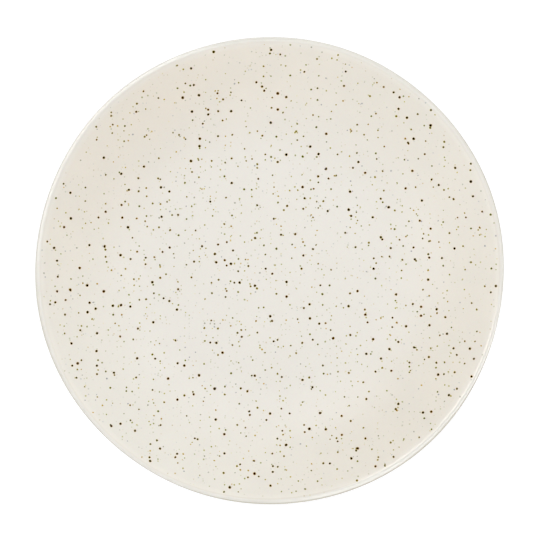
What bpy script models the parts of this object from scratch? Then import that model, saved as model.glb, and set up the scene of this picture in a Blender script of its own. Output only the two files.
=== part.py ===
"""Stoneware side plate: a coupe plate with a rounded lip and a bare foot ring.

The plate is one fired clay body that carries two coats of glaze. One coat runs over the eating surface, round
the lip and down the outside to the foot ring. The other fills the recess inside the foot ring. The ring itself
is wiped bare before the firing, so it parts the two coats.

Sizes are in metres and +Z is up. The origin lies on the plate's axis at the table, under the foot ring.
"""

from collections import namedtuple
from math import asin, atan2, ceil, cos, hypot, pi, radians, sin, tan

import bpy

# Driving dimensions, taken over the glaze
DIAMETER = 0.210
HEIGHT = 0.022  # table to the top of the lip
RIM_WIDTH = 0.053  # outer edge in to where the floor runs flat
WELL_CURVE = 0.018  # tangent length of the curve between the flat floor and the wall
FLOOR_THICKNESS = 0.0058  # inside the foot ring
WALL_THICKNESS = 0.0054  # at the heel, from where the wall tapers to the lip
LIP_THICKNESS = 0.0030
FOOT_SETBACK = 0.043  # outer edge in to the outer side of the foot ring
FOOT_WIDTH = 0.0048
FOOT_FILLET = 0.0010  # where the foot ring grows out of the plate
FOOT_ROUND = 0.0006  # edges of the foot ring's underside
BASE_RECESS = 0.0022  # table to the underside inside the foot ring
GLAZE_THICKNESS = 0.0004
GLAZE_LINE = 0.0011  # table to the glaze's edge on both sides of the foot ring
BOND_GAP = 0.0003  # clearance that stands for the fused bond between glaze and clay

# Fineness of the turned surfaces
TURN_STEPS = 72
CHORD_ERROR = 0.00005  # most that a straight facet may leave its arc
SAME_POINT = 1e-6

# Looks: base colour in linear light, and roughness
CLAY_COLOUR = (0.52, 0.42, 0.30, 1.0)
CLAY_ROUGHNESS = 0.85
GLAZE_COLOUR = (0.80, 0.75, 0.67, 1.0)
GLAZE_ROUGHNESS = 0.18

# Sizes that follow from the driving dimensions
RADIUS = DIAMETER / 2
LIP_RADIUS = LIP_THICKNESS / 2
FLOOR_RADIUS = RADIUS - RIM_WIDTH
FLOOR_TOP = BASE_RECESS + FLOOR_THICKNESS
UNDERSIDE = FLOOR_TOP - WALL_THICKNESS  # table to the plate's underside just outside the foot ring
FOOT_OUTER = RADIUS - FOOT_SETBACK
FOOT_INNER = FOOT_OUTER - FOOT_WIDTH
OUTER_FILLET = min(FOOT_FILLET, UNDERSIDE - GLAZE_LINE)
INNER_FILLET = min(FOOT_FILLET, BASE_RECESS - GLAZE_LINE)
CLAY_INSET = GLAZE_THICKNESS + BOND_GAP

# A turned surface is a chain of arcs, and the straight runs join one arc's end to the next arc's start.
# A hollow arc has the clay outside its circle, so it grows where the surface is inset into the clay.
Arc = namedtuple("Arc", "centre radius start end hollow")


def slope_to_lip(corner, lip_centre, side):
    """Angle of the line from a corner that touches the lip's round on its upper (1) or lower (-1) side."""
    run = lip_centre[0] - corner[0]
    rise = lip_centre[1] - corner[1]
    return atan2(rise, run) + side * asin(LIP_RADIUS / hypot(run, rise))


def plate_arcs():
    """Arcs of the glazed section from the floor over the lip to the foot ring, with +X outwards and +Z up."""
    lip_centre = (RADIUS - LIP_RADIUS, HEIGHT - LIP_RADIUS)
    well_corner = (FLOOR_RADIUS + WELL_CURVE, FLOOR_TOP)
    inner_slope = slope_to_lip(well_corner, lip_centre, 1)
    well_radius = WELL_CURVE / tan(inner_slope / 2)

    # The outside corner lies one wall thickness off both lines that meet in the well's corner
    belly_corner = (well_corner[0] + WALL_THICKNESS * tan(inner_slope / 2), UNDERSIDE)
    outer_slope = slope_to_lip(belly_corner, lip_centre, -1)
    belly_start = FOOT_OUTER + OUTER_FILLET
    belly_radius = (belly_corner[0] - belly_start) / tan(outer_slope / 2)

    down = -pi / 2
    well = Arc((FLOOR_RADIUS, FLOOR_TOP + well_radius), well_radius, down, down + inner_slope, True)
    # The lip turns in three arcs, which end at its top and at its outer edge, so both are true to size
    lip_turns = [pi / 2 + inner_slope, pi / 2, 0.0, down + outer_slope]
    lip = [Arc(lip_centre, LIP_RADIUS, a, b, False) for a, b in zip(lip_turns, lip_turns[1:])]
    belly = Arc((belly_start, UNDERSIDE + belly_radius), belly_radius, down + outer_slope, down, False)
    neck = Arc((belly_start, UNDERSIDE - OUTER_FILLET), OUTER_FILLET, pi / 2, pi, True)
    return [well, *lip, belly, neck]


def base_arc():
    """Arc that joins the foot ring's inner side to the recessed base."""
    centre = (FOOT_INNER - INNER_FILLET, BASE_RECESS - INNER_FILLET)
    return Arc(centre, INNER_FILLET, 0.0, pi / 2, True)


def foot_arcs():
    """Rounds at the two edges of the bare foot ring's underside."""
    outer = Arc((FOOT_OUTER - CLAY_INSET - FOOT_ROUND, FOOT_ROUND), FOOT_ROUND, 0.0, -pi / 2, False)
    inner = Arc((FOOT_INNER + CLAY_INSET + FOOT_ROUND, FOOT_ROUND), FOOT_ROUND, -pi / 2, -pi, False)
    return [outer, inner]


def arc_points(arc, inset=0.0):
    """Points along an arc that is inset into the clay. Every inset of one arc has the same number of facets."""
    widest_step = 2 * (2 * CHORD_ERROR / arc.radius) ** 0.5
    facets = ceil(abs(arc.end - arc.start) / widest_step)
    radius = arc.radius + (inset if arc.hollow else -inset)
    angles = [arc.start + (arc.end - arc.start) * i / facets for i in range(facets + 1)]
    return [(arc.centre[0] + radius * cos(a), arc.centre[1] + radius * sin(a)) for a in angles]


def surface(arcs, inset=0.0):
    """Points along a chain of arcs, all inset alike."""
    return [point for arc in arcs for point in arc_points(arc, inset)]


def body_section():
    """Clay from the floor's centre over the lip and round the bare foot ring to the base's centre."""
    top = [(0.0, FLOOR_TOP - CLAY_INSET)]
    bottom = [(0.0, BASE_RECESS + CLAY_INSET)]
    upper = surface(plate_arcs(), CLAY_INSET)
    foot = surface(foot_arcs())
    recess = surface([base_arc()], CLAY_INSET)
    return top + upper + foot + recess + bottom


def coat_section():
    """Glaze from the floor's centre over the lip to its edge on the foot ring, and back along the clay."""
    shown = [(0.0, FLOOR_TOP)] + surface(plate_arcs()) + [(FOOT_OUTER, GLAZE_LINE)]
    hidden = [(0.0, FLOOR_TOP - GLAZE_THICKNESS)] + surface(plate_arcs(), GLAZE_THICKNESS)
    hidden.append((FOOT_OUTER - GLAZE_THICKNESS, GLAZE_LINE))
    return shown + hidden[::-1]


def base_section():
    """Glaze of the recess, from its centre on the clay out to the foot ring, and back along its shown side."""
    shown = [(FOOT_INNER, GLAZE_LINE)] + surface([base_arc()]) + [(0.0, BASE_RECESS)]
    hidden = [(FOOT_INNER + GLAZE_THICKNESS, GLAZE_LINE)] + surface([base_arc()], GLAZE_THICKNESS)
    hidden.append((0.0, BASE_RECESS + GLAZE_THICKNESS))
    return hidden[::-1] + shown


def material(name, colour, roughness):
    """A plain Principled material."""
    made = bpy.data.materials.new(name)
    made.use_nodes = True
    shader = made.node_tree.nodes["Principled BSDF"]
    shader.inputs["Base Color"].default_value = colour
    shader.inputs["Roughness"].default_value = roughness
    shader.inputs["Metallic"].default_value = 0.0
    return made


def turned(name, section, finish, collection):
    """An object turned about Z from a section that runs down its outer side."""
    points = [section[0]]
    for point in section[1:]:
        if hypot(point[0] - points[-1][0], point[1] - points[-1][1]) > SAME_POINT:
            points.append(point)
    mesh = bpy.data.meshes.new(name)
    edges = [(i, i + 1) for i in range(len(points) - 1)]
    if points[-1][0] > SAME_POINT:
        edges.append((len(points) - 1, 0))
    mesh.from_pydata([(r, 0.0, z) for r, z in points], edges, [])
    mesh.materials.append(finish)
    made = bpy.data.objects.new(name, mesh)
    collection.objects.link(made)

    turn = made.modifiers.new("turn", "SCREW")
    turn.axis = "Z"
    turn.angle = radians(360)
    turn.steps = TURN_STEPS
    turn.render_steps = TURN_STEPS
    turn.use_merge_vertices = True
    turn.merge_threshold = SAME_POINT
    turn.use_smooth_shade = True
    return made


def main():
    for old in list(bpy.data.objects):
        bpy.data.objects.remove(old, do_unlink=True)
    plate = bpy.data.collections.new("side_plate")
    bpy.context.scene.collection.children.link(plate)

    clay = material("fired_stoneware", CLAY_COLOUR, CLAY_ROUGHNESS)
    face_glaze = material("speckled_cream_glaze", GLAZE_COLOUR, GLAZE_ROUGHNESS)
    recess_glaze = material("cream_glaze", GLAZE_COLOUR, GLAZE_ROUGHNESS)

    body = turned("stoneware_body", body_section(), clay, plate)
    coat = turned("glaze_coat", coat_section(), face_glaze, plate)
    base = turned("base_glaze", base_section(), recess_glaze, plate)
    for glaze in (coat, base):
        glaze.parent = body


main()
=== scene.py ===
"""Looks of the stoneware side plate: speckled cream glaze, bare clay foot ring and a plain white studio.

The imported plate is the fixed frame. Each of its three nodes is replaced by a finely turned mesh of the same
size, warped by the fractions of a millimetre that a hand-finished plate has.
"""

from collections import namedtuple
from math import asin, atan2, cos, hypot, pi, radians, sin, tan

import bmesh
import bpy
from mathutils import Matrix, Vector


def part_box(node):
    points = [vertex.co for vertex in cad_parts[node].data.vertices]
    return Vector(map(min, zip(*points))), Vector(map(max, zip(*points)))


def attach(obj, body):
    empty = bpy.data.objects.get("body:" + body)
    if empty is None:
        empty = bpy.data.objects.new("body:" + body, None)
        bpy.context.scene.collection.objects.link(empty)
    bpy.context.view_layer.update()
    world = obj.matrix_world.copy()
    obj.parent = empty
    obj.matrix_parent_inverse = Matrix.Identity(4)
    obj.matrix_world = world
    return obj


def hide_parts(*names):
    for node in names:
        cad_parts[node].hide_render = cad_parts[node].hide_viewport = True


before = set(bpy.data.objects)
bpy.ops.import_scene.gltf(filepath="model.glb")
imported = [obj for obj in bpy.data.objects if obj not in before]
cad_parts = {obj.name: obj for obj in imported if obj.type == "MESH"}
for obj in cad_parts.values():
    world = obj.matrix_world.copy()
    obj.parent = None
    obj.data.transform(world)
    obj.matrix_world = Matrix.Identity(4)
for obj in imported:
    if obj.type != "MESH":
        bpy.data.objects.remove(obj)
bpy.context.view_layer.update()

MM = 0.001

# Sizes of the glazed plate, from the frame where it holds them
COAT_LOW, COAT_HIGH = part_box("glaze_coat")
_, BASE_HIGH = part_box("base_glaze")
RADIUS = COAT_HIGH.x
HEIGHT = COAT_HIGH.z
GLAZE_LINE = COAT_LOW.z
GLAZE_THICKNESS = 0.4 * MM
FLOOR_TOP = 8.0 * MM
WELL_CORNER = 70.0 * MM  # radius at which the floor and the wall would meet without their curve
WELL_CURVE_HALF = 23.0 * MM  # the curve reaches this far to both sides of the corner
WALL_THICKNESS = 5.4 * MM
UNDERSIDE = FLOOR_TOP - WALL_THICKNESS
BASE_RECESS = BASE_HIGH.z - GLAZE_THICKNESS
FOOT_INNER = BASE_HIGH.x - GLAZE_THICKNESS
FOOT_OUTER = FOOT_INNER + 4.8 * MM
FOOT_FILLET = 1.0 * MM
FOOT_ROUND = 0.6 * MM
BELLY_START = FOOT_OUTER + 1.4 * MM
BELLY_SHIFT = 4.6 * MM  # the outside bends upwards this much further out than the inside
# The lip from its widest point inwards: radius of each bend, and the way the glaze faces at its start and
# end, in degrees up from straight outwards. A hollow joins it to the wall.
LIP_BENDS = (
    (1.2 * MM, 0, 67.7), (50 * MM, 67.7, 68.3), (0.4 * MM, 68.3, 82),
    (2.4 * MM, 82, 98), (0.4 * MM, 98, 117.3), (50 * MM, 117.3, 117.9),
)
LIP_HOLLOW = 1.5 * MM
LIP_UNDER_ROUND = 2.0 * MM
LIP_DEPTH = sum(r * (sin(radians(min(b, 90))) - sin(radians(min(a, 90)))) for r, a, b in LIP_BENDS)
CLAY_INSET = 0.45 * MM  # glaze surface to clay, so the coat lies close on the clay

# Waves round the plate: count, height, and the angle of a crest, as left by hand finishing and the kiln
OUT_OF_ROUND = ((2, 0.16 * MM, -14), (3, 0.14 * MM, 55), (4, 0.16 * MM, 33), (6, 0.14 * MM, 15))
RIM_LIFT = ((2, 0.22 * MM, 35), (3, 0.16 * MM, 100), (5, 0.08 * MM, 10))
WELL_SWELL = ((3, 0.10 * MM, -68), (5, 0.07 * MM, 48), (7, 0.05 * MM, -20))
LIP_SHIFT = ((2, 0.12 * MM, -65), (3, 0.24 * MM, -65), (4, 0.12 * MM, -65))
GLAZE_EDGE = ((3, 0.10 * MM, 20), (8, 0.07 * MM, 5), (13, 0.05 * MM, 70))
# Where the waves act: each pair is the start and the end of an even change
LIP_SHIFT_FULL = RADIUS - 3.5 * MM  # the lip's shift grows up to here
LIP_SHIFT_FADES = RADIUS - 0.74 * MM  # and fades from here to the outer edge
SWELL_RISES = (50 * MM, 72 * MM)
SWELL_FALLS = (78 * MM, 100 * MM)
GLAZE_EDGE_REACH = (2.6 * MM, 3.6 * MM)  # to both sides of the middle of the foot ring
GLAZE_EDGE_LOWEST = (0.3 * MM, 0.8 * MM)  # above the table

TURN_STEPS = 300
WELD_DISTANCE = 0.001 * MM
RIM_DISTANCE = "rim_distance"  # each point keeps how far it lies from the edge of the true turned form
SLOPE_SHADE_TINT = "slope_shade_tint"  # and how much of the painted shade tint its side gets, a warmer tint for slopes that lie in shade, from about 0 to 1
SLOPE_SHADE_MEAN = 0.5
# Painted shade: the warmer slope tint is strongest round the sides where the slopes lie in shade
SLOPE_SHADE_WAVES = ((1, 0.28, 85), (2, 0.27, 135))


def waves(angle, crests):
    """Height at an angle round the plate of a sum of waves."""
    return sum(height * cos(count * (angle - radians(crest))) for count, height, crest in crests)


def smooth(value, low, high):
    """0 below low, 1 above high, and an even S between them."""
    t = min(max((value - low) / (high - low), 0.0), 1.0)
    return t * t * (3 - 2 * t)


def spaced(start, end, count):
    """Evenly spaced numbers from start to end, both included."""
    return [start + (end - start) * i / (count - 1) for i in range(count)]


def arc(centre, radius, start, end, count):
    """Points on an arc, with angles in radians from the plate's outward direction."""
    return [(centre[0] + radius * cos(a), centre[1] + radius * sin(a)) for a in spaced(start, end, count)]


def slope_to_round(corner, centre, radius):
    """Angle of the line from a corner that touches the lower side of a round."""
    run = centre[0] - corner[0]
    rise = centre[1] - corner[1]
    return atan2(rise, run) - asin(radius / hypot(run, rise))


def bent_line(radius, corner, half, level, slope):
    """Height at a radius of a level line that bends, with no step in its curvature, into a sloping one."""
    start = corner - half
    t = min(max((radius - start) / (2 * half), 0.0), 1.0)
    past = max(radius - corner - half, 0.0)
    return level + slope * (2 * half * (t**3 - t**4 / 2) + past)


def rolled_lip():
    """Points of the lip from its widest point to its inner end, and the hollow's centre beyond that end."""
    points = [(RADIUS, HEIGHT - LIP_DEPTH)]
    for radius, start, end in LIP_BENDS:
        r, z = points[-1]
        centre = (r - radius * cos(radians(start)), z - radius * sin(radians(start)))
        points += arc(centre, radius, radians(start), radians(end), 7)[1:]
    r, z = points[-1]
    end = radians(LIP_BENDS[-1][2])
    return points, (r + LIP_HOLLOW * cos(end), z + LIP_HOLLOW * sin(end))


def glazed_section():
    """Shown side of the coat: from the floor's centre over the lip and the outside to the glaze's edge."""
    lip, hollow_centre = rolled_lip()
    wall_angle = slope_to_round((WELL_CORNER, FLOOR_TOP), hollow_centre, LIP_HOLLOW)
    lip_end = radians(LIP_BENDS[-1][2])
    hollow = arc(hollow_centre, -LIP_HOLLOW, pi / 2 + wall_angle, lip_end, 5)
    radii = spaced(0.0, WELL_CORNER - WELL_CURVE_HALF, 14)
    radii += spaced(radii[-1], WELL_CORNER + WELL_CURVE_HALF, 37)[1:]
    radii += spaced(radii[-1], hollow[0][0], 7)[1:-1]
    inside = [(r, bent_line(r, WELL_CORNER, WELL_CURVE_HALF, FLOOR_TOP, tan(wall_angle))) for r in radii]

    under_centre = (RADIUS - LIP_UNDER_ROUND, HEIGHT - LIP_DEPTH)
    belly_corner = WELL_CORNER + BELLY_SHIFT
    outer_angle = slope_to_round((belly_corner, UNDERSIDE), under_centre, LIP_UNDER_ROUND)
    under = arc(under_centre, LIP_UNDER_ROUND, 0.0, outer_angle - pi / 2, 9)
    belly_half = belly_corner - BELLY_START
    radii = spaced(under[-1][0], belly_corner + belly_half, 12)[1:]
    radii += spaced(radii[-1], BELLY_START, 21)[1:]
    outside = [(r, bent_line(r, belly_corner, belly_half, UNDERSIDE, tan(outer_angle))) for r in radii]

    neck_centre = (FOOT_OUTER + FOOT_FILLET, UNDERSIDE - FOOT_FILLET)
    neck = arc(neck_centre, FOOT_FILLET, pi / 2, pi, 7)
    return inside + hollow + lip[-2::-1] + under[1:] + outside + neck


def recess_section():
    """Shown side of the glaze in the recess: from the glaze's edge up the foot ring to the base's centre."""
    centre = (FOOT_INNER - FOOT_FILLET, BASE_RECESS - FOOT_FILLET)
    flat = [(r, BASE_RECESS) for r in spaced(centre[0], 0.0, 14)]
    return arc(centre, FOOT_FILLET, 0.0, pi / 2, 7) + flat[1:]


def inset(points, depth):
    """The points of a section moved into the clay, square to the section."""
    moved = []
    for i, (r, z) in enumerate(points):
        before = points[max(i - 1, 0)]
        after = points[min(i + 1, len(points) - 1)]
        run = after[0] - before[0]
        rise = after[1] - before[1]
        length = hypot(run, rise)
        moved.append((r + depth * rise / length if r else 0.0, z - depth * run / length))
    return moved


def rolled_edge(shown_end, hidden_end, drop):
    """Rounded edge of a coat of glaze, from its shown side down to where it thins out on the clay."""
    turn = spaced(0.0, pi / 2, 6)[1:]
    run = hidden_end[0] - shown_end[0]
    return [(shown_end[0] + run * (1 - cos(a)), shown_end[1] - drop * sin(a)) for a in turn]


def warped(point):
    """A point of the true turned form, moved as the real plate is out of round and out of flat."""
    r = hypot(point.x, point.y)
    angle = atan2(point.y, point.x)
    rim = smooth(r, FOOT_OUTER, RADIUS)
    lip = smooth(r, WELL_CORNER, LIP_SHIFT_FULL) * (1 - smooth(r, LIP_SHIFT_FADES, RADIUS))
    swell = smooth(r, *SWELL_RISES) * (1 - smooth(r, *SWELL_FALLS))
    swell *= smooth(point.z, UNDERSIDE, FLOOR_TOP)
    edge = 1 - smooth(abs(r - (FOOT_OUTER + FOOT_INNER) / 2), *GLAZE_EDGE_REACH)
    edge *= smooth(-point.z, -UNDERSIDE, -GLAZE_LINE)
    edge *= smooth(point.z, *GLAZE_EDGE_LOWEST)
    r_new = r + rim * waves(angle, OUT_OF_ROUND) - lip * waves(angle, LIP_SHIFT)
    z_new = point.z + rim * waves(angle, RIM_LIFT) + swell * waves(angle, WELL_SWELL)
    z_new += edge * waves(angle, GLAZE_EDGE)
    return Vector((r_new * cos(angle), r_new * sin(angle), z_new))


def turned(name, section, finish, node):
    """A piece turned about the plate's axis, warped, and put in the place of its node."""
    form = bmesh.new()
    rim_distance = form.verts.layers.float.new(RIM_DISTANCE)
    slope_shade_tint = form.verts.layers.float.new(SLOPE_SHADE_TINT)
    ring = [form.verts.new((r, 0.0, z)) for r, z in section]
    edges = [form.edges.new(pair) for pair in zip(ring, ring[1:])]
    axis = {"cent": (0, 0, 0), "axis": (0, 0, 1), "angle": 2 * pi, "steps": TURN_STEPS}
    bmesh.ops.spin(form, geom=ring + edges, use_merge=True, **axis)
    bmesh.ops.remove_doubles(form, verts=form.verts, dist=WELD_DISTANCE)
    bmesh.ops.recalc_face_normals(form, faces=form.faces)
    for vert in form.verts:
        vert[rim_distance] = RADIUS - hypot(vert.co.x, vert.co.y)
        # painted shade: the share of warmer tint for the slopes on this side
        vert[slope_shade_tint] = SLOPE_SHADE_MEAN + waves(atan2(vert.co.y, vert.co.x), SLOPE_SHADE_WAVES)
        vert.co = warped(vert.co)
    mesh = bpy.data.meshes.new(name)
    form.to_mesh(mesh)
    form.free()
    mesh.shade_smooth()
    mesh.materials.append(finish)
    piece = bpy.data.objects.new(name, mesh)
    bpy.context.scene.collection.objects.link(piece)
    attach(piece, "root")
    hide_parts(node)


def direction(azimuth, off_zenith):
    """Unit vector to a place round the plate, in degrees from +X and from straight up."""
    around = radians(azimuth)
    tilt = radians(off_zenith)
    return Vector((sin(tilt) * cos(around), sin(tilt) * sin(around), cos(tilt)))


def linear(hex_colour):
    """An sRGB hex colour in linear light, with full alpha."""
    channels = [int(hex_colour[i : i + 2], 16) / 255 for i in (1, 3, 5)]
    return [c / 12.92 if c <= 0.04045 else ((c + 0.055) / 1.055) ** 2.4 for c in channels] + [1.0]


def add_node(tree, kind, inputs, **settings):
    """Adds a node, gives it its settings, and links or sets its inputs."""
    made = tree.nodes.new(kind)
    for name, value in settings.items():
        setattr(made, name, value)
    for name, value in inputs.items():
        if isinstance(value, bpy.types.NodeSocket):
            tree.links.new(value, made.inputs[name])
        else:
            made.inputs[name].default_value = value
    return made


# Sockets of Blender's Mix node when it mixes colours
MIX_A = 6
MIX_B = 7
MIX_RESULT = 2

# A family of specks: cell of the scatter, share of cells with a speck, least and greatest radius, how well
# the palest and the darkest of them show in the glaze, and pairs of a speck's colour and its stain
Specks = namedtuple("Specks", "cell share least greatest faintest strongest colours")
IRON_GRAINS = Specks(3.6 * MM, 0.58, 0.41 * MM, 0.60 * MM, 1.0, 1.0, (
    ("#200B02", "#D8BA24"), ("#160702", "#D8BC34"), ("#381703", "#DCB61C"), ("#1B0902", "#D8BE3A"),
    ("#2E1103", "#DCB824"), ("#130602", "#DABD42"), ("#290F02", "#D8BA28"),
))
BROWN_SPECKS = Specks(3.0 * MM, 0.44, 0.33 * MM, 0.48 * MM, 0.92, 1.0, (
    ("#4C3A0A", "#E4D04C"), ("#665A10", "#E6D850"), ("#4E4E10", "#DCD85C"), ("#342A08", "#E4D864"),
    ("#584A0C", "#E2D044"), ("#46461C", "#E0E080"), ("#28200A", "#EBE088"),
))
OLIVE_FLECKS = Specks(2.3 * MM, 0.44, 0.27 * MM, 0.40 * MM, 0.50, 0.95, (
    ("#827C2C", "#FDF5B8"), ("#74782E", "#F4F6C0"), ("#88802A", "#FDF4AE"), ("#82805F", "#FFFFFF"),
    ("#908A3A", "#FDF7BC"), ("#868689", "#FFFFFF"), ("#6A6A30", "#F6F8C4"),
))
FAINT_FLECKS = Specks(1.7 * MM, 0.48, 0.23 * MM, 0.36 * MM, 0.20, 0.95, (
    ("#BFBDA0", "#FFFFFF"), ("#BCBCB8", "#FFFFFF"), ("#B6B48C", "#FFFFFF"), ("#C6B996", "#FFFFFF"),
    ("#BBBAA6", "#FFFFFF"),
))
SPECKS_THIN_OUT = 5.5 * MM  # from the plate's edge: towards the wiped lip the specks get fewer
SPECKS_END = 2.0 * MM
SPECK_EDGE = 0.04 * MM  # width over which a speck fades into the glaze
STAIN_FULL = 1.08  # the stain round a speck begins to fade and ends at these radii, in radii of the speck
STAIN_REACH = 1.34


def lay_specks(tree, place, under, specks):
    """Scatters one family of specks over a colour, and gives back the new colour and the specks' cover."""
    cells = add_node(tree, "ShaderNodeTexVoronoi", {"Vector": place, "Scale": 1 / specks.cell})
    chance = add_node(tree, "ShaderNodeSeparateColor", {"Color": cells.outputs["Color"]})
    home = add_node(
        tree, "ShaderNodeVectorMath", {0: cells.outputs["Position"], 1: (1, 1, 0)}, operation="MULTIPLY"
    )
    out = add_node(tree, "ShaderNodeVectorMath", {0: home.outputs[0]}, operation="LENGTH")
    share = add_node(tree, "ShaderNodeMapRange", {
        "Value": out.outputs["Value"],
        "From Min": RADIUS - SPECKS_THIN_OUT,
        "From Max": RADIUS - SPECKS_END,
        "To Min": specks.share,
        "To Max": 0.0,
    })
    there = add_node(
        tree, "ShaderNodeMath", {0: chance.outputs["Red"], 1: share.outputs[0]}, operation="LESS_THAN"
    )
    strength = add_node(tree, "ShaderNodeMapRange", {
        "Value": chance.outputs["Blue"], "To Min": specks.faintest, "To Max": specks.strongest,
    })
    most = add_node(
        tree, "ShaderNodeMath", {0: there.outputs[0], 1: strength.outputs[0]}, operation="MULTIPLY"
    )
    radius = add_node(tree, "ShaderNodeMapRange", {
        "Value": chance.outputs["Red"],
        "From Max": specks.share,
        "To Min": specks.greatest / specks.cell,
        "To Max": specks.least / specks.cell,
    })
    edge = SPECK_EDGE / specks.cell
    rim = add_node(tree, "ShaderNodeMath", {0: radius.outputs[0], 1: edge}, operation="ADD")
    core = add_node(tree, "ShaderNodeMath", {0: radius.outputs[0], 1: edge}, operation="SUBTRACT")
    full, reach = (
        add_node(tree, "ShaderNodeMath", {0: radius.outputs[0], 1: radii}, operation="MULTIPLY")
        for radii in (STAIN_FULL, STAIN_REACH)
    )
    cover, bleed = (
        add_node(tree, "ShaderNodeMapRange", {
            "Value": cells.outputs["Distance"],
            "From Min": outermost.outputs[0],
            "From Max": innermost.outputs[0],
            "To Max": most.outputs[0],
        }, interpolation_type="SMOOTHSTEP")
        for outermost, innermost in ((rim, core), (reach, full))
    )
    tint, stain = (add_node(tree, "ShaderNodeValToRGB", {"Fac": chance.outputs["Green"]}) for _ in range(2))
    for ramp, colours in zip((tint.color_ramp, stain.color_ramp), zip(*specks.colours)):
        ramp.interpolation = "CONSTANT"
        for i, colour in enumerate(colours):
            stop = ramp.elements[i] if i < 2 else ramp.elements.new(1.0)
            stop.position = i / len(colours)
            stop.color = linear(colour)
    stained = add_node(tree, "ShaderNodeMix", {
        0: bleed.outputs[0], MIX_A: under, MIX_B: stain.outputs["Color"],
    }, data_type="RGBA", blend_type="MULTIPLY")
    laid = add_node(tree, "ShaderNodeMix", {
        0: cover.outputs[0], MIX_A: stained.outputs[MIX_RESULT], MIX_B: tint.outputs["Color"],
    }, data_type="RGBA")
    return laid.outputs[MIX_RESULT], cover.outputs[0]


# Stoneware glaze, dipped and fired: a clear gloss over cream. On the slopes it is warmer on the sides that
# lie in shade, which is painted shade. Under the lip it is whiter, partly gathered glaze and partly a painted
# highlight. On the lip's top a painted reflection makes it paler, and the lip's steep outer edge is greyed
# with painted shade. Distances are from the plate's edge.
GLAZE_THICK = "#E6E2DA"
GLAZE_SLOPE = "#E8E4DA"
# painted shade: the warmer tint of the slopes on their shaded sides
GLAZE_SHADE_TINT = "#ECE4D7"
GLAZE_CLOUD = "#E2DED4"
CLOUD_SIZE = 14 * MM
CLOUD_STARTS = 0.35  # levels of the noise between which a cloud grows
CLOUD_FULL = 0.75
CLOUD_MOST = 0.35
# Partly glaze gathered in the hollow under the lip, partly a painted highlight where the lip's inner bright
# line falls
GATHERED_GLAZE_AND_HIGHLIGHT = "#EDE8DE"
GATHERED_AND_HIGHLIGHT_STARTS = 4.6 * MM
GATHERED_AND_HIGHLIGHT_FULL = 3.0 * MM
# Painted reflection: the lip's top made paler and greyer, as if its glaze mirrored the studio's white
PAINTED_LIP_SHEEN = "#E8E5DD"
LIP_SHEEN_STARTS = 2.3 * MM
LIP_SHEEN_FULL = 1.9 * MM
PAINTED_LIP_SHADE = "#B4A98E"  # painted shade: the lip's steep outer edge greyed, darkest on the side turned from the light
LIP_SHADE_SIDE = -70  # way round the plate to where the painted edge shade is darkest, in degrees from +X
LIP_SHADE_LEAST = 0.0
LIP_SHADE_MOST = 0.78
LIP_SHADE_STARTS = 0.92  # the painted shade starts where the glaze faces less upwards than this, as the normal's upward part
LIP_SHADE_FULL = 0.72
LIP_SHADE_LOWEST = HEIGHT - 5 * MM  # only near the top: not at all below this height, and fully above the next
LIP_SHADE_WHOLE = HEIGHT - 3 * MM
GLAZE_ROUGHNESS = 0.09
GLAZE_SHINE = 0.5
GLAZE_GRAIN = 0.125  # faint grain of the fired glaze, no two places quite the same colour
GRAIN_SIZE = 0.9 * MM  # finer on a real plate, and drawn as coarse as it needs to show
RAGGED_SIZE = 0.7 * MM  # lumps that make the specks' outlines uneven
RAGGED_SHIFT = 0.35 * MM
RIPPLE_SIZE = 7 * MM
RIPPLE_HEIGHT = 0.015 * MM
IRON_ROUGHNESS = 0.60  # the iron breaks through the glaze, so the specks are dry and don't shine
IRON_SHINE = 0.03
GLAZE_IOR = 1.5


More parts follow.
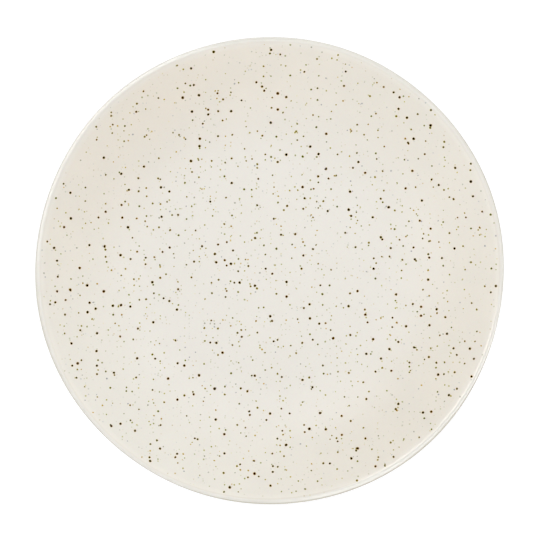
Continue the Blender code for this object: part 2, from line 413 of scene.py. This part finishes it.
def speckled_glaze():
    """Cream glaze with iron specks: the specks bleed brown, olive and grey from the clay below."""
    made = bpy.data.materials.new("speckled_stoneware_glaze")
    made.use_nodes = True
    tree = made.node_tree
    shader = tree.nodes["Principled BSDF"]
    coords = add_node(tree, "ShaderNodeTexCoord", {})
    place = coords.outputs["Object"]

    across = add_node(tree, "ShaderNodeVectorMath", {0: place, 1: (1, 1, 0)}, operation="MULTIPLY")
    radius = add_node(tree, "ShaderNodeVectorMath", {0: across.outputs[0]}, operation="LENGTH")
    slope = add_node(tree, "ShaderNodeMapRange", {
        "Value": radius.outputs["Value"],
        "From Min": WELL_CORNER - WELL_CURVE_HALF,
        "From Max": WELL_CORNER + WELL_CURVE_HALF,
    }, interpolation_type="SMOOTHSTEP")
    # painted shade: the slopes turn warmer on their shaded sides
    run = add_node(tree, "ShaderNodeAttribute", {}, attribute_name=SLOPE_SHADE_TINT)
    shade_tinted = add_node(tree, "ShaderNodeMix", {
        0: run.outputs["Fac"], MIX_A: linear(GLAZE_SLOPE), MIX_B: linear(GLAZE_SHADE_TINT),
    }, data_type="RGBA")
    cream = add_node(tree, "ShaderNodeMix", {
        0: slope.outputs[0], MIX_A: linear(GLAZE_THICK), MIX_B: shade_tinted.outputs[MIX_RESULT],
    }, data_type="RGBA")
    from_edge = add_node(tree, "ShaderNodeAttribute", {}, attribute_name=RIM_DISTANCE)
    # partly gathered glaze, partly painted highlight: whiter in the hollow under the lip
    gathered_and_highlight = add_node(tree, "ShaderNodeMapRange", {
        "Value": from_edge.outputs["Fac"], "From Min": GATHERED_AND_HIGHLIGHT_STARTS, "From Max": GATHERED_AND_HIGHLIGHT_FULL,
    })
    whiter = add_node(tree, "ShaderNodeMix", {
        0: gathered_and_highlight.outputs[0], MIX_A: cream.outputs[MIX_RESULT], MIX_B: linear(GATHERED_GLAZE_AND_HIGHLIGHT),
    }, data_type="RGBA")
    # painted reflection: paler, greyer tint on the lip's top
    lip_sheen = add_node(tree, "ShaderNodeMapRange", {
        "Value": from_edge.outputs["Fac"], "From Min": LIP_SHEEN_STARTS, "From Max": LIP_SHEEN_FULL,
    })
    lip_sheened = add_node(tree, "ShaderNodeMix", {
        0: lip_sheen.outputs[0], MIX_A: whiter.outputs[MIX_RESULT], MIX_B: linear(PAINTED_LIP_SHEEN),
    }, data_type="RGBA")
    cloud = add_node(tree, "ShaderNodeTexNoise", {"Vector": place, "Scale": 1 / CLOUD_SIZE, "Detail": 3.0})
    cloudy = add_node(tree, "ShaderNodeMapRange", {
        "Value": cloud.outputs["Fac"],
        "From Min": CLOUD_STARTS,
        "From Max": CLOUD_FULL,
        "To Max": CLOUD_MOST,
    })
    base = add_node(tree, "ShaderNodeMix", {
        0: cloudy.outputs[0], MIX_A: lip_sheened.outputs[MIX_RESULT], MIX_B: linear(GLAZE_CLOUD),
    }, data_type="RGBA")

    grain = add_node(tree, "ShaderNodeTexNoise", {"Vector": place, "Scale": 1 / GRAIN_SIZE, "Detail": 1.0})
    grained = add_node(tree, "ShaderNodeMix", {
        0: GLAZE_GRAIN, MIX_A: base.outputs[MIX_RESULT], MIX_B: grain.outputs["Color"],
    }, data_type="RGBA", blend_type="SOFT_LIGHT")

    # painted shade: the lip's steep outer edge greyed by how little it faces up, darkest on the side turned
    # from the light
    facing = add_node(tree, "ShaderNodeSeparateXYZ", {"Vector": coords.outputs["Normal"]})
    lip_shade_side = add_node(
        tree, "ShaderNodeVectorMath", {0: place, 1: direction(LIP_SHADE_SIDE, 90)}, operation="DOT_PRODUCT"
    )
    lip_shade_here = add_node(tree, "ShaderNodeMapRange", {
        "Value": lip_shade_side.outputs["Value"],
        "From Min": -RADIUS,
        "From Max": RADIUS,
        "To Min": LIP_SHADE_LEAST,
        "To Max": LIP_SHADE_MOST,
    })
    steep = add_node(tree, "ShaderNodeMapRange", {
        "Value": facing.outputs["Z"],
        "From Min": LIP_SHADE_STARTS,
        "From Max": LIP_SHADE_FULL,
        "To Max": lip_shade_here.outputs[0],
    })
    level = add_node(tree, "ShaderNodeSeparateXYZ", {"Vector": place})
    high = add_node(tree, "ShaderNodeMapRange", {
        "Value": level.outputs["Z"], "From Min": LIP_SHADE_LOWEST, "From Max": LIP_SHADE_WHOLE,
    })
    lip_shading = add_node(
        tree, "ShaderNodeMath", {0: steep.outputs[0], 1: high.outputs[0]}, operation="MULTIPLY"
    )
    lip_shaded = add_node(tree, "ShaderNodeMix", {
        0: lip_shading.outputs[0], MIX_A: grained.outputs[MIX_RESULT], MIX_B: linear(PAINTED_LIP_SHADE),
    }, data_type="RGBA")

    ragged = add_node(tree, "ShaderNodeTexNoise", {"Vector": place, "Scale": 1 / RAGGED_SIZE, "Detail": 1.0})
    centred = add_node(
        tree, "ShaderNodeVectorMath", {0: ragged.outputs["Color"], 1: (0.5, 0.5, 0.5)}, operation="SUBTRACT"
    )
    shifted = add_node(tree, "ShaderNodeVectorMath", {
        0: centred.outputs[0], 1: (RAGGED_SHIFT,) * 3, 2: place,
    }, operation="MULTIPLY_ADD")
    colour = lip_shaded.outputs[MIX_RESULT]
    iron = 0.0
    for family in (FAINT_FLECKS, OLIVE_FLECKS, BROWN_SPECKS, IRON_GRAINS):
        colour, cover = lay_specks(tree, shifted.outputs[0], colour, family)
        iron = add_node(tree, "ShaderNodeMath", {0: iron, 1: cover}, operation="MAXIMUM").outputs[0]
    gloss = add_node(tree, "ShaderNodeMapRange", {
        "Value": iron, "To Min": GLAZE_SHINE, "To Max": IRON_SHINE,
    })
    dryness = add_node(tree, "ShaderNodeMapRange", {
        "Value": iron, "To Min": GLAZE_ROUGHNESS, "To Max": IRON_ROUGHNESS,
    })
    tree.links.new(colour, shader.inputs["Base Color"])
    tree.links.new(gloss.outputs[0], shader.inputs["Specular IOR Level"])
    tree.links.new(dryness.outputs[0], shader.inputs["Roughness"])

    ripple = add_node(tree, "ShaderNodeTexNoise", {"Vector": place, "Scale": 1 / RIPPLE_SIZE, "Detail": 2.0})
    bump = add_node(tree, "ShaderNodeBump", {"Height": ripple.outputs["Fac"], "Distance": RIPPLE_HEIGHT})
    tree.links.new(bump.outputs["Normal"], shader.inputs["Normal"])
    shader.inputs["IOR"].default_value = GLAZE_IOR
    return made


# Bare fired stoneware: buff, dry and sandy, with the iron that specks the glaze
CLAY_BUFF = "#C7B08C"
CLAY_DARK = "#A98D66"
CLAY_ROUGHNESS = 0.9
SAND_SIZE = 0.6 * MM  # finer on a real plate, and drawn as coarse as it needs to show
SAND_HEIGHT = 0.08 * MM
SAND_STARTS = 0.35  # levels of the noise between which the sand darkens
SAND_FULL = 0.7
CLAY_GRAINS = Specks(2.0 * MM, 0.45, 0.10 * MM, 0.30 * MM, 0.6, 1.0, (
    ("#4A3320", "#F4DCB8"), ("#A98D66", "#FFF4DC"),
))


def bare_stoneware():
    """Dry buff clay of the wiped foot ring, with fine sand and a few dark iron grains."""
    made = bpy.data.materials.new("bare_fired_stoneware")
    made.use_nodes = True
    tree = made.node_tree
    shader = tree.nodes["Principled BSDF"]
    place = add_node(tree, "ShaderNodeTexCoord", {}).outputs["Object"]
    sand = add_node(tree, "ShaderNodeTexNoise", {"Vector": place, "Scale": 1 / SAND_SIZE, "Detail": 4.0})
    grain = add_node(tree, "ShaderNodeMapRange", {
        "Value": sand.outputs["Fac"], "From Min": SAND_STARTS, "From Max": SAND_FULL,
    })
    buff = add_node(tree, "ShaderNodeMix", {
        0: grain.outputs[0], MIX_A: linear(CLAY_BUFF), MIX_B: linear(CLAY_DARK),
    }, data_type="RGBA")
    colour, _ = lay_specks(tree, place, buff.outputs[MIX_RESULT], CLAY_GRAINS)
    tree.links.new(colour, shader.inputs["Base Color"])
    bump = add_node(tree, "ShaderNodeBump", {"Height": sand.outputs["Fac"], "Distance": SAND_HEIGHT})
    tree.links.new(bump.outputs["Normal"], shader.inputs["Normal"])
    shader.inputs["Roughness"].default_value = CLAY_ROUGHNESS
    return made


def make_plate():
    """The three pieces of the plate."""
    glaze = speckled_glaze()
    clay = bare_stoneware()
    face = glazed_section()
    recess = recess_section()

    face_back = inset(face, GLAZE_THICKNESS)
    edge = rolled_edge(face[-1], face_back[-1], face[-1][1] - GLAZE_LINE)
    turned("speckled_glaze_coat", face + edge + face_back[::-1], glaze, "glaze_coat")

    recess_back = inset(recess, GLAZE_THICKNESS)
    edge = rolled_edge(recess[0], recess_back[0], recess[0][1] - GLAZE_LINE)
    turned("recess_glaze", recess_back[::-1] + edge[::-1] + recess, glaze, "base_glaze")

    outer = FOOT_OUTER - CLAY_INSET - FOOT_ROUND
    inner = FOOT_INNER + CLAY_INSET + FOOT_ROUND
    foot = arc((outer, FOOT_ROUND), FOOT_ROUND, 0.0, -pi / 2, 6)
    foot += [(r, 0.0) for r in spaced(outer, inner, 5)[1:-1]]
    foot += arc((inner, FOOT_ROUND), FOOT_ROUND, -pi / 2, -pi, 6)
    body = inset(face, CLAY_INSET) + foot + inset(recess, CLAY_INSET)
    turned("stoneware_body_clay", body, clay, "stoneware_body")


# Studio: white floor and walls, soft light from above, and narrow arcs that draw the bright lines on the lip
FLOOR_SIZE = 8.0
FLOOR_DROP = 0.05 * MM  # keeps the floor clear of the foot ring
FLOOR_WHITE = "#BDBDBD"
FLOOR_GLOW = 0.80  # the part of the floor's white that the plate's shadow doesn't dim
FLOOR_SHADE = 0.30
STUDIO_WHITE = "#FFFFFF"
WALLS_END = 0.13  # height, on a dome of radius 1, up to which the white walls reach
CEILING_STARTS = 0.60
DOME_LEVEL = 0.05
# Angles of the lights are in degrees: round the plate from +X, and from straight up
Glow = namedtuple("Glow", "azimuth off_zenith half_width level")
SOFT_LIGHTS = (
    Glow(50, 20, 35, 1.1),  # main softbox, beyond the plate's upper right
    Glow(50, 10, 15, 0.4),  # its bright middle, which the plate's floor mirrors
    Glow(15, 30, 55, 0.55),  # wide fill from the right
    Glow(190, 25, 30, 0.5),  # softbox on the left
    Glow(185, 20, 15, 0.7),  # its bright middle
    Glow(230, 30, 35, 0.7),  # softbox at the lower left
    Glow(270, 30, 20, 0.6),  # small softbox in front
    Glow(115, 20, 10, 0.5),  # reflector at the upper left
)
Arc = namedtuple("Arc", "azimuth half_length off_zenith half_height level")
ARC_FULL = 0.6  # share of an arc's length at full level, before its ends fade
LIP_LIGHTS = (Arc(140, 38, 46.5, 3.0, 8.5), Arc(142, 42, 52.8, 3.0, 9.6), Arc(-50, 46, 52.8, 3.0, 7.4))


def make_floor():
    """White floor that keeps a soft shadow under the plate."""
    form = bmesh.new()
    bmesh.ops.create_grid(form, x_segments=1, y_segments=1, size=FLOOR_SIZE / 2)
    mesh = bpy.data.meshes.new("studio_floor")
    form.to_mesh(mesh)
    form.free()
    floor = bpy.data.objects.new("studio_floor", mesh)
    floor.location.z = -FLOOR_DROP
    bpy.context.scene.collection.objects.link(floor)

    made = bpy.data.materials.new("matt_white_floor")
    made.use_nodes = True
    tree = made.node_tree
    tree.nodes.remove(tree.nodes["Principled BSDF"])
    lit = add_node(tree, "ShaderNodeBsdfDiffuse", {"Color": linear(FLOOR_WHITE)})
    shaded = add_node(tree, "ShaderNodeBsdfDiffuse", {"Color": (FLOOR_SHADE,) * 3 + (1.0,)})
    glow = add_node(tree, "ShaderNodeEmission", {"Strength": FLOOR_GLOW})
    seen = add_node(tree, "ShaderNodeAddShader", {0: shaded.outputs[0], 1: glow.outputs[0]})
    path = add_node(tree, "ShaderNodeLightPath", {})
    looked_at = path.outputs["Is Camera Ray"]
    for kind in ("Is Glossy Ray", "Is Transmission Ray"):
        looked_at = add_node(
            tree, "ShaderNodeMath", {0: looked_at, 1: path.outputs[kind]}, operation="MAXIMUM"
        ).outputs[0]
    both = add_node(tree, "ShaderNodeMixShader", {0: looked_at, 1: lit.outputs[0], 2: seen.outputs[0]})
    tree.links.new(both.outputs[0], tree.nodes["Material Output"].inputs["Surface"])
    mesh.materials.append(made)


def make_lights():
    """A white studio that glows softly overhead where the big lights are, with the lip's arcs of light."""
    world = bpy.data.worlds.new("white_studio")
    bpy.context.scene.world = world
    world.use_nodes = True
    tree = world.node_tree
    way = add_node(tree, "ShaderNodeTexCoord", {}).outputs["Generated"]
    total = DOME_LEVEL
    for glow in SOFT_LIGHTS:
        towards = add_node(tree, "ShaderNodeVectorMath", {
            0: way, 1: direction(glow.azimuth, glow.off_zenith),
        }, operation="DOT_PRODUCT")
        part = add_node(tree, "ShaderNodeMapRange", {
            "Value": towards.outputs["Value"],
            "From Min": cos(radians(glow.half_width)),
            "From Max": 1.0,
            "To Max": glow.level,
        }, interpolation_type="SMOOTHSTEP")
        total = add_node(tree, "ShaderNodeMath", {0: part.outputs[0], 1: total}, operation="ADD").outputs[0]
    height = add_node(tree, "ShaderNodeSeparateXYZ", {"Vector": way})
    level = add_node(tree, "ShaderNodeMapRange", {
        "Value": height.outputs["Z"],
        "From Min": WALLS_END,
        "From Max": CEILING_STARTS,
        "To Min": 1.0,
        "To Max": total,
    }, interpolation_type="SMOOTHSTEP")
    total = level.outputs[0]
    for lamp in LIP_LIGHTS:
        tilt = radians(lamp.off_zenith)
        above = add_node(
            tree, "ShaderNodeMath", {0: height.outputs["Z"], 1: cos(tilt)}, operation="SUBTRACT"
        )
        apart = add_node(tree, "ShaderNodeMath", {0: above.outputs[0]}, operation="ABSOLUTE")
        across = add_node(tree, "ShaderNodeMapRange", {
            "Value": apart.outputs[0],
            "From Min": sin(tilt) * radians(lamp.half_height),
            "From Max": 0.0,
            "To Max": lamp.level,
        }, interpolation_type="SMOOTHSTEP")
        side = add_node(
            tree, "ShaderNodeVectorMath", {0: way, 1: direction(lamp.azimuth, 90)}, operation="DOT_PRODUCT"
        )
        along = add_node(tree, "ShaderNodeMapRange", {
            "Value": side.outputs["Value"],
            "From Min": sin(tilt) * cos(radians(lamp.half_length)),
            "From Max": sin(tilt) * cos(radians(lamp.half_length * ARC_FULL)),
        }, interpolation_type="SMOOTHSTEP")
        total = add_node(tree, "ShaderNodeMath", {
            0: across.outputs[0], 1: along.outputs[0], 2: total,
        }, operation="MULTIPLY_ADD").outputs[0]
    tree.nodes["Background"].inputs["Color"].default_value = linear(STUDIO_WHITE)
    tree.links.new(total, tree.nodes["Background"].inputs["Strength"])


# Camera straight above the plate, framed as the photograph is
IMAGE_PIXELS = 540
PLATE_RADIUS_PX = 234.1
PLATE_CENTRE_PX = (269.75, 270.6)  # from the frame's upper left corner
LENS = 100.0
SENSOR = 36.0


def make_camera():
    """The photograph's camera, which looks straight down with the image's top towards +Y."""
    data = bpy.data.cameras.new("photo_camera")
    data.lens = LENS
    data.sensor_width = SENSOR
    camera = bpy.data.objects.new("photo_camera", data)
    pixel = RADIUS / PLATE_RADIUS_PX
    camera.location.x = (IMAGE_PIXELS / 2 - PLATE_CENTRE_PX[0]) * pixel
    camera.location.y = (PLATE_CENTRE_PX[1] - IMAGE_PIXELS / 2) * pixel
    camera.location.z = HEIGHT - LIP_DEPTH + pixel * IMAGE_PIXELS * LENS / SENSOR
    bpy.context.scene.collection.objects.link(camera)
    bpy.context.scene.camera = camera


make_plate()
make_floor()
make_lights()
make_camera()
bpy.context.scene.view_settings.view_transform = "Standard"
